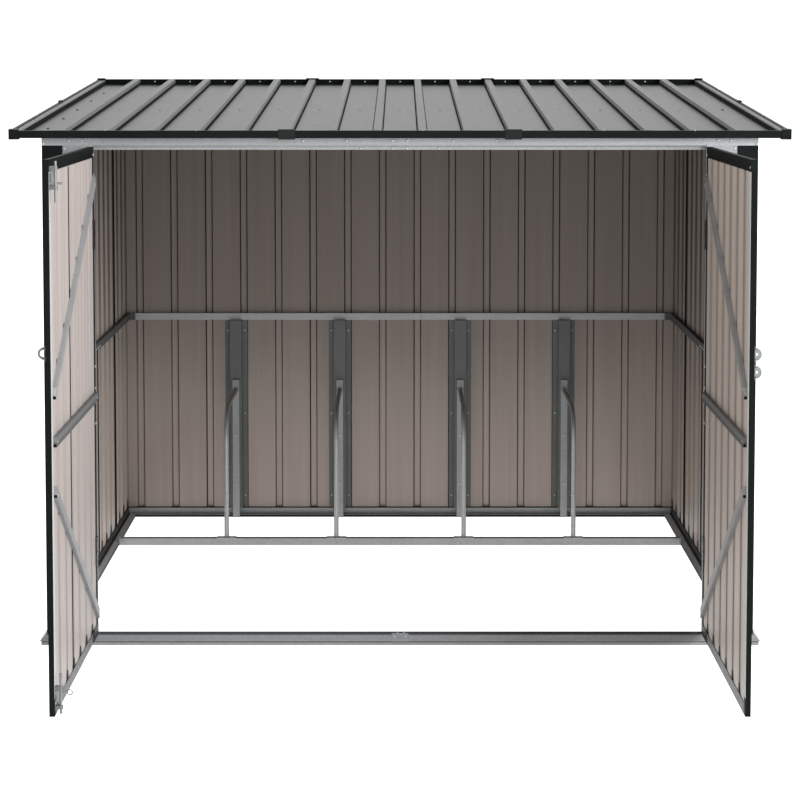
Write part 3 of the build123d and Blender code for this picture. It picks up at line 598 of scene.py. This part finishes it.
# Rails inside the walls and under the roof: galvanised channels and angles screwed through the sheets.
# The middle rails are joined half way with four screws, and screwed together in the back corners.
# Painted shade: the middle rails along the side walls keep only a quarter of their tone.
mid_rail_shade = ((0.950, 1.0), (0.956, 0.25), (0.990, 0.25))
coat(["mid_rails"], zinc_finish("zinc_rails", (0.30,) * 3, (0.34,) * 3, 0, 0.6, ("X", mid_rail_shade)))
coat(["top_rails", "roof_purlin"], zinc_across)

back_rail_face_y = 1.89475
side_rail_face_x = 0.9735
rail_screw_height = mid_rail_height - 0.002
rail_screws = bmesh.new()
for along in (-0.943, -0.075, -0.025, 0.028, 0.077, 0.943):
    drive(rail_screws, screw_head, (along, back_rail_face_y, rail_screw_height), (0.0, -1.0, 0.0))
for side in (-1, 1):
    for along in (-0.9, -0.075, -0.026, 0.026, 0.075):
        place = (side * side_rail_face_x, middle_y + along, rail_screw_height)
        drive(rail_screws, screw_head, place, (-side, 0.0, 0.0))
add_piece("rail_screws", rail_screws, zinc_bright, "frame")


# Roof sheets: ribbed coil-coated steel, laid edge to edge and screwed to the purlin through each pan,
# and down the left gable. Folded edge strips close the sheets against the trim of both gables.
def roof_finish(name, pitch, half_crown, half_foot, strip_lap):
    """Coil-coated roof sheet, with the ribs' flanks painted paler as a reflection and painted shade in dark
    lines along their feet.

    Strip lap is the distance from the middle past which the edge strips are painted dark as shade under the
    trim's lip.
    """
    material, add, join, worked, shader = start_finish(name, 0.0, 0.14)
    place = add("TexCoord")
    spot = add("SeparateXYZ")
    join(place.outputs["Object"], spot.inputs["Vector"])
    from_rib = worked("PINGPONG", worked("SUBTRACT", spot.outputs["X"], pitch / 2), pitch / 2)
    scaled = worked("DIVIDE", from_rib, half_foot * 2)
    crown = half_crown / half_foot / 2
    foot = 0.5 - (0.5 - crown) * 0.4
    # Painted reflection: the ribs' flanks paler, as if catching the light at a slant. Painted shade:
    # near-black lines along the ribs' feet.
    sheen_stops = ((crown, 0.0), (crown + 0.006, 1.0), (foot - 0.006, 1.0), (foot, 0.0))
    shade_line_stops = ((foot - 0.004, 0.0), (foot, 1.0), (0.55, 1.0), (0.575, 0.0))
    sheen = share_ramp(add, join, scaled, sheen_stops)
    shade_paint = share_ramp(add, join, scaled, shade_line_stops)
    # Painted shade: the edge strips dark where they pass under the trim's lip.
    under_lip = add("MapRange", **{"From Min": strip_lap, "From Max": strip_lap + 0.0006})
    join(worked("ABSOLUTE", spot.outputs["X"], 0.0), under_lip.inputs["Value"])
    shade_applied = worked("MAXIMUM", shade_paint, under_lip.outputs["Result"])
    drift = add("TexNoise", Scale=3.0, Detail=4.0)
    join(place.outputs["Object"], drift.inputs["Vector"])
    tone = tone_ramp(add, (0.0085, 0.0098, 0.0094), (0.0115, 0.0130, 0.0125))
    join(drift.outputs["Fac"], tone.inputs["Fac"])
    below = tone.outputs["Color"]
    sheen_tone = (0.105, 0.109, 0.107, 1.0)
    shade_tone = (0.001, 0.0012, 0.0011, 1.0)
    for mask, over in ((sheen, sheen_tone), (shade_applied, shade_tone)):
        layer = add("Mix")
        layer.data_type = "RGBA"
        layer.inputs["B"].default_value = over
        join(mask, layer.inputs["Factor"])
        join(below, layer.inputs["A"])
        below = layer.outputs["Result"]
    join(below, shader.inputs["Base Color"])
    gloss = coat_wear(add, join, place, shader, 40.0, 0.30, 0.37, 650.0)
    join(worked("MAXIMUM", gloss, shade_applied), shader.inputs["Roughness"])
    return material


roof_pitch = 0.126
roof_half_crown = 0.011
roof_half_foot = 0.014
trim_lip_x = 1.0732
roof_coat = roof_finish("roof_coat", roof_pitch, roof_half_crown, roof_half_foot, trim_lip_x)
coat(["left_roof_sheet", "middle_roof_sheet", "right_roof_sheet"], roof_coat)

roof_frame = Matrix.Translation((0.0, middle_y, 1.4965)) @ Matrix.Rotation(math.atan(roof_fall), 4, "X")
roof_up = roof_frame.to_3x3() @ Vector((0.0, 0.0, 1.0))
roof_back = roof_frame.to_3x3() @ Vector((0.0, 1.0, 0.0))
roof_half_length = 0.99855
roof_half_width = 1.085
purlin_along = -0.0999
roof_pan = 0.0025
gable_screw_x = 1.015
roof_screws = bmesh.new()
for number in range(-7, 8):
    place = Vector((number * roof_pitch, purlin_along, roof_pan))
    drive(roof_screws, screw_head, roof_frame @ place, roof_up)
add_piece("roof_screws", roof_screws, zinc_across, "frame")
gable_screws = bmesh.new()
for along in (-0.74, -0.42, purlin_along, 0.24, 0.58):
    drive(gable_screws, screw_head, roof_frame @ Vector((-gable_screw_x, along, roof_pan)), roof_up)
drive(gable_screws, screw_head, roof_frame @ Vector((gable_screw_x, purlin_along, roof_pan)), roof_up)
add_piece("gable_screws", gable_screws, coat_dark, "frame")

edge_strips = bmesh.new()
edge_strip_half_length = 0.9885
edge_strip_folds = ((1.0560, roof_pan), (1.0590, 0.0190), (1.0795, 0.0190))
for side in (-1, 1):
    strip = folded(
        [(side * across, -edge_strip_half_length, lift) for across, lift in edge_strip_folds],
        (0.0, 2 * edge_strip_half_length, 0.0), thin_sheet,
    )
    bmesh.ops.transform(strip, matrix=roof_frame, verts=strip.verts)
    edge_strips.from_mesh(as_pattern("edge_strip", strip))
bmesh.ops.recalc_face_normals(edge_strips, faces=edge_strips.faces)
add_piece("roof_edge_strips", edge_strips, roof_coat, "frame")


# Roof trim: dark folded channel round the edge, with caps over the corners and sleeves over the joints,
# screwed through its top lip and, at the back, through its upright face.
coat(["front_roof_trim", "back_roof_trim", "left_roof_trim", "right_roof_trim"], coat_dark)
coat(["roof_corner_caps"], coat_dark)
coat(["roof_trim_joiners"], dark_finish("joiner_coat", (0.0075, 0.0085, 0.0082), (0.010, 0.011, 0.0107)))

trim_top = 0.021
lip_middle = 0.0045
end_lip = roof_half_length - lip_middle
side_lip = roof_half_width - lip_middle
lip_spots = [(across, -end_lip) for across in (-0.819, -0.567, 0.063, 0.567, 0.819)] + [(-0.063, end_lip)]
lip_spots += [(side * side_lip, along) for side in (-1, 1) for along in (-0.5, 0.5)]
trim_screws = bmesh.new()
for across, along in lip_spots:
    drive(trim_screws, low_head, roof_frame @ Vector((across, along, trim_top)), roof_up)
for number in range(-7, 8):
    place = Vector((number * roof_pitch, roof_half_length - 0.0015, 0.012))
    drive(trim_screws, low_head, roof_frame @ place, -roof_back)
add_piece("trim_screws", trim_screws, zinc_bright, "frame")


# Wheel racks: a channel across the ground, bent tube hoops welded to saddle plates, uprights and wall
# posts. The plates are screwed to the channel, and a collar holds each tube's end to its upright.
coat(["rack_rail"], zinc_finish("zinc_rack", (0.27, 0.274, 0.278), (0.32, 0.324, 0.328), 0, 0.6))
zinc_hoops = zinc_finish("zinc_hoops", (0.33, 0.335, 0.34), (0.39, 0.395, 0.40), 2, 0.6)
coat(["outer_left_hoop", "inner_left_hoop", "inner_right_hoop", "outer_right_hoop"], zinc_hoops)
coat(["rack_uprights"], zinc_upright)
coat(["rack_wall_posts"], zinc_finish("zinc_posts", (0.095, 0.097, 0.099), (0.115, 0.117, 0.119), 2))

hoop_y = 1.38625
hoop_top = 0.462
upright_face_y = 1.86925
wall_post_face_y = 1.90655
plate_top = 0.026
tube_skin = 0.0078
weld = as_pattern("weld", turned(
    ((tube_skin, -0.0003), (0.0104, -0.0003), (0.0092, 0.0014), (tube_skin, 0.0024)), 20, ring=True,
))
collar = as_pattern("collar", turned(
    (
        (tube_skin, -0.0003), (0.0115, -0.0003), (0.0115, 0.0030), (0.0108, 0.0036), (tube_skin, 0.0036),
    ), 24, ring=True,
))
rack_welds = bmesh.new()
rack_screws = bmesh.new()
for place_x in (-0.591, -0.217, 0.217, 0.591):
    drive(rack_welds, weld, (place_x, hoop_y, plate_top), (0.0, 0.0, 1.0))
    drive(rack_welds, collar, (place_x, upright_face_y, hoop_top), (0.0, -1.0, 0.0))
    for along in (-0.023, 0.023):
        drive(rack_screws, screw_head, (place_x + along, hoop_y, plate_top), (0.0, 0.0, 1.0))
    drive(rack_screws, screw_head, (place_x, hoop_y - tube_skin, 0.173), (0.0, -1.0, 0.0))
    for height in (0.123, 0.30):
        drive(rack_screws, screw_head, (place_x, upright_face_y, height), (0.0, -1.0, 0.0))
    for along in (-0.0305, 0.0305):
        for height in (0.075, 0.375, 0.675):
            drive(rack_screws, low_head, (place_x + along, wall_post_face_y, height), (0.0, -1.0, 0.0))
add_piece("rack_welds", rack_welds, zinc_upright, "frame")
add_piece("rack_screws", rack_screws, zinc_bright, "frame")


# Doors: dark channel frames round a ribbed sheet, with a galvanised bottom rail, middle bar and diagonals.
# The meeting stiles' inner flanges show their pale backing coat. Dark plugs close the top rails' ends and the
# bottoms of the bars' free ends, under galvanised tabs. A dark block over the bottom rail's hinge end stands
# partly for the dark stile foot and partly as painted shade there. The left sheet is lapped once, its lap
# drawn as a dark strip that stands in for the shadow line in the lap.
def stile_finish(name, side):
    """Dark coil coating with a pale backing coat on the meeting stile's inner flange."""
    material, add, join, worked, shader = start_finish(name, 0.0, 0.01)
    place = add("TexCoord")
    drift = add("TexNoise", Scale=3.0, Detail=4.0)
    join(place.outputs["Object"], drift.inputs["Vector"])
    dark = tone_ramp(add, (0.0042, 0.0054, 0.0051), (0.0056, 0.0068, 0.0064))
    join(drift.outputs["Fac"], dark.inputs["Fac"])
    pale = tone_ramp(add, (0.285, 0.28, 0.278), (0.325, 0.32, 0.318))
    join(drift.outputs["Fac"], pale.inputs["Fac"])
    spot = add("SeparateXYZ")
    join(place.outputs["Object"], spot.inputs["Vector"])
    flange_x, past_middle_y, flange_foot, flange_top = side * 0.8535, -0.5, 0.078, 1.3797
    inside = worked("GREATER_THAN" if side < 0 else "LESS_THAN", spot.outputs["X"], flange_x)
    for axis, operation, limit in (
        ("Y", "LESS_THAN", past_middle_y), ("Z", "GREATER_THAN", flange_foot), ("Z", "LESS_THAN", flange_top),
    ):
        inside = worked("MULTIPLY", inside, worked(operation, spot.outputs[axis], limit))
    blend = add("Mix")
    blend.data_type = "RGBA"
    join(inside, blend.inputs["Factor"])
    join(dark.outputs["Color"], blend.inputs["A"])
    join(pale.outputs["Color"], blend.inputs["B"])
    join(blend.outputs["Result"], shader.inputs["Base Color"])
    coat_wear(add, join, place, shader, 40.0, 0.36, 0.52, 650.0)
    return material


coat(["left_door_frame"], stile_finish("stile_left", -1))
coat(["right_door_frame"], stile_finish("stile_right", 1))
pivot_x = 0.860
pivot_y = -0.01975
door_middle_y = pivot_y - 0.4315
door_pitch = 0.125
door_rib = ("Y", door_middle_y + door_pitch / 2, door_pitch, 0.009, 0.012)
door_sheet_foot = 0.062
# The left door's sheet takes a paler, greyer copy of the beige backing, painted sheen where the lamp falls on
# it; the shares paint the left door darker low down and lighter high up, and more shade on the right door's
# ribs and beside them.
pale_backing = ((0.252, 0.215, 0.198), (0.282, 0.244, 0.229))
for side, door, backing, tones, flank, shade_dimmed in (
    (-1, "left_door", pale_backing, (0.78, 1.07), 0.88, 0.92),
    (1, "right_door", beige_backing, (1.0, 1.1), 0.66, 0.76),
):
    coat([door + "_panel"], sheet_finish(
        door + "_sheet", (float(side), 0.0, 0.0), backing, door_rib, door_sheet_foot, tones, (flank, flank),
        (shade_dimmed, shade_dimmed), (), 0.024,
    ))
# The door foot rails take a far darker copy of the zinc, painted shade on rails that face into the shelter.
zinc_foot = zinc_finish("zinc_foot", (0.09,) * 3, (0.11,) * 3, 1)
coat(["left_door_bottom_rail", "right_door_bottom_rail"], zinc_foot)
# Painted shade on the braces, by height: the middle bar darker, darkest along its lower edge, and on the left
# door the diagonals dimmed just below it. The left door's braces take a paler copy of the zinc than the
# right's, painted light where the lamp falls.
bar_shade = ((0.7005, 0.26), (0.7105, 0.3), (0.7145, 0.5), (0.7262, 0.5), (0.728, 1.0), (0.80, 1.0))
for door, dark, light, low_share in (
    ("left_door", (0.27, 0.273, 0.276), (0.31, 0.313, 0.316), 0.72),
    ("right_door", (0.19, 0.187, 0.184), (0.22, 0.217, 0.214), 1.0),
):
    painted_shade = ("Z", ((0.60, low_share), (0.699, low_share)) + bar_shade)
    coat([door + "_braces"], zinc_finish(door + "_brace_zinc", dark, light, 1, 0.6, painted_shade))

door_face = 0.007
proud_face = 0.0078
door_end = 0.857
hinge_stile = 0.018
meeting_stile = 0.845
bottom_rail_foot, bottom_rail_head = 0.0328, 0.064
top_rail_foot, top_rail_head = 1.3803, 1.4087
top_rail_half_depth = 0.0057
bar_face = 0.0155
bar_end = 0.8327
bar_plug_feet = (0.7005, 0.8195, 0.5745)
bar_tab_spans = ((0.7085, 0.7253), (0.8275, 0.8480), (0.5825, 0.6030))
plug_depth = 0.0013
plug_height = 0.0075
sheet_lap = 0.515
sheet_face = 0.0054
sheet_head = 1.378


def door_spot(side, along, inward, height):
    """Place on an open door: along the leaf from its pivot, inwards from its middle plane, up."""
    return (side * (pivot_x - inward), pivot_y - along, height)


hex_head = as_pattern("hex_head", turned(
    (
        (0.0, -0.0003), (0.0048, -0.0003), (0.0048, 0.0006), (0.0038, 0.0007), (0.0038, 0.0030),
        (0.0, 0.0036),
    ), 6,
))
for side, door in ((-1, "left_door"), (1, "right_door")):
    inner = (-side, 0.0, 0.0)
    outer = (side, 0.0, 0.0)
    plugs = bmesh.new()
    for start in (0.0061, door_end - 0.0014):
        low_corner = door_spot(side, start, -top_rail_half_depth, top_rail_foot)
        add_block(plugs, low_corner, door_spot(side, start + plug_depth, top_rail_half_depth, top_rail_head))
    for foot in bar_plug_feet:
        low_corner = door_spot(side, bar_end - 0.002, 0.0062, foot)
        add_block(plugs, low_corner, door_spot(side, bar_end + 0.0004, bar_face - 0.0004, foot + plug_height))
    # A dark block over the bottom rail's hinge end: the dark stile foot carried along the rail, and painted
    # shade there.
    low_corner = door_spot(side, 0.0066, door_face - 0.0001, bottom_rail_foot)
    add_block(plugs, low_corner, door_spot(side, 0.115, proud_face, bottom_rail_head))
    # The left sheet's lap: a dark strip, standing in for the shadow line in the lap.
    if side < 0:
        low_corner = door_spot(side, sheet_lap - 0.0005, sheet_face, bottom_rail_head)
        add_block(plugs, low_corner, door_spot(side, sheet_lap + 0.0005, proud_face, sheet_head))
    add_piece(door + "_plugs", plugs, coat_dark, door)
    tabs = bmesh.new()
    for bottom, top in bar_tab_spans:
        low_corner = door_spot(side, bar_end - 0.0015, 0.0072, bottom)
        add_block(tabs, low_corner, door_spot(side, bar_end + 0.0005, bar_face - 0.0002, top))
    add_piece(door + "_bar_tabs", tabs, nodes[door + "_braces"].data.materials[0], door)
    door_screws = bmesh.new()
    for height in (1.388, 1.331, 0.796, 0.735, 0.696, 0.636, 0.12):
        drive(door_screws, hex_head, door_spot(side, hinge_stile, door_face, height), inner)
    for height in (0.799, 0.699, 0.30) + ((1.390,) if side > 0 else ()):
        drive(door_screws, low_head, door_spot(side, meeting_stile, door_face, height), inner)
    for along, height in (
        (0.045, 0.713), (0.818, 0.713), (0.045, 1.3052), (0.818, 0.8428), (0.045, 0.1080), (0.818, 0.5800),
    ):
        drive(door_screws, low_head, door_spot(side, along, bar_face, height), inner)
    for along in (0.06, 0.43, 0.80):
        drive(door_screws, low_head, door_spot(side, along, door_face, 0.047), inner)
    add_piece(door + "_screws", door_screws, zinc_bright, door)
    face_screws = bmesh.new()
    for height in (0.10, 0.40, 0.713, 1.05, 1.34):
        for along in (hinge_stile, meeting_stile):
            drive(face_screws, low_head, door_spot(side, along, -door_face, height), outer)
    for along in (0.12, 0.43, 0.74):
        drive(face_screws, low_head, door_spot(side, along, -door_face, 1.395), outer)
    add_piece(door + "_face_screws", face_screws, coat_dark, door)


# Hinges: black butt hinges of pressed steel, two a door, screwed to the jamb and to the hinge stile.
# Their pins end in domed heads above and below the knuckles.
hinge_black = dark_finish("hinge_black", (0.004, 0.004, 0.0045), (0.008, 0.008, 0.0085), 0.3)
coat(["hinge_brackets", "left_door_hinge_leaves", "right_door_hinge_leaves"], hinge_black)

hinge_heights = (0.273, 1.16505)
leaf_face = 0.0095
bracket_face_y = -0.00775
pin_end = 0.041
pin_head = as_pattern("pin_head", turned(
    ((0.0, -0.0003), (0.0042, -0.0003), (0.0042, 0.0010), (0.0030, 0.0024), (0.0, 0.0030)), 16,
))
pin_heads = bmesh.new()
for side, door in ((-1, "left_door"), (1, "right_door")):
    leaf_screws = bmesh.new()
    for height in hinge_heights:
        for along, rise in ((0.016, -0.030), (0.027, 0.0), (0.016, 0.030)):
            spot = door_spot(side, along, leaf_face, height + rise)
            drive(leaf_screws, low_head, spot, (-side, 0.0, 0.0))
        for across, rise in ((0.882, -0.030), (0.892, 0.0), (0.882, 0.030)):
            drive(pin_heads, low_head, (side * across, bracket_face_y, height + rise), (0.0, -1.0, 0.0))
        for end in (-1, 1):
            drive(pin_heads, pin_head, (side * pivot_x, pivot_y, height + end * pin_end), (0.0, 0.0, end))
    add_piece(door + "_leaf_screws", leaf_screws, hinge_black, door)
add_piece("hinge_pin_heads", pin_heads, hinge_black, "frame")


# Bolts and padlock eyes: zinc-plated wire and rod on small screwed plates, each bolt's plate with one edge
# folded up beside the rod. The bottom bolt's knob ends in a wire loop for the fingers. A thick ring fills
# the left eye, and a pierced lug each of the right ones.
zinc_plate = zinc_finish("zinc_plate", (0.105, 0.107, 0.109), (0.13, 0.132, 0.134), 2, 0.7)
zinc_rod = zinc_finish("zinc_rod", (0.15, 0.153, 0.156), (0.18, 0.183, 0.186), 2)
coat(["left_door_bolt_guides"], zinc_plate)
coat(["left_door_top_bolt", "left_door_bottom_bolt", "left_door_eye", "right_door_eyes"], zinc_rod)


def wire_ring(radius, wire, sides, steps):
    """Bends round wire into a closed ring about Z."""
    outline = [
        (radius + wire * math.cos(turn * math.tau / sides), wire * math.sin(turn * math.tau / sides))
        for turn in range(sides)
    ]
    return turned(outline, steps, ring=True)


plate_face = 0.0085
bolt_line = meeting_stile
bolt_axis = 0.0211
knob_reach = 0.0165
guide_middles = (1.36505, 0.078)
bolt_screws = bmesh.new()
for middle in guide_middles:
    for along in (-0.0075, 0.0075):
        for rise in (-0.013, 0.013):
            spot = door_spot(-1, bolt_line + along, plate_face, middle + rise)
            drive(bolt_screws, low_head, spot, (1.0, 0.0, 0.0))
add_piece("bolt_guide_screws", bolt_screws, zinc_bright, "left_door")
bracket_line = 0.8370
bracket_sheet = 0.0015
bracket_reach = 0.0200
bolt_brackets = bmesh.new()
for bottom, top in ((1.339, 1.391), (0.052, 0.104)):
    low_corner = door_spot(-1, bracket_line, plate_face - 0.0002, bottom)
    add_block(bolt_brackets, low_corner, door_spot(-1, bracket_line + bracket_sheet, bracket_reach, top))
# The brackets take the bright zinc, paler than their plates', as painted light on faces in shade.
add_piece("bolt_brackets", bolt_brackets, zinc_bright, "left_door")
loop_hold = 0.0056
knob_height = 0.091
loop = wire_ring(0.0062, 0.0014, 8, 24)
loop_place = Matrix.Translation(door_spot(-1, bolt_line, bolt_axis + knob_reach + loop_hold, knob_height))
bmesh.ops.transform(loop, matrix=loop_place @ Matrix.Rotation(math.radians(90.0), 4, "X"), verts=loop.verts)
add_piece("bolt_loop", loop, zinc_plate, "bottom_bolt")
eye_line = 0.841
eye_reach = 0.0142
eye_ring = as_pattern("eye_ring", wire_ring(0.0112, 0.0031, 10, 28))
lug = as_pattern("lug", turned(
    (
        (0.0034, -0.0018), (0.0117, -0.0018), (0.0124, -0.0011), (0.0124, 0.0011), (0.0117, 0.0018),
        (0.0034, 0.0018),
    ), 28, ring=True,
))
for side, door, heights in ((-1, "left_door", (0.934,)), (1, "right_door", (0.932, 0.888))):
    eye_rivets = bmesh.new()
    for height in heights:
        for rise in (-0.0172, 0.0172):
            spot = door_spot(side, eye_line, -plate_face, height + rise)
            drive(eye_rivets, low_head, spot, (side, 0.0, 0.0))
    add_piece(door + "_eye_rivets", eye_rivets, zinc_bright, door)
    lugs = bmesh.new()
    for height in heights:
        fitting = eye_ring if side < 0 else lug
        drive(lugs, fitting, door_spot(side, eye_line, -eye_reach, height), (0.0, -1.0, 0.0))
    add_piece(door + "_eye_lugs", lugs, zinc_rod, door)


# Size note: the box round the dressed shelter, in metres.
low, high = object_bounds()
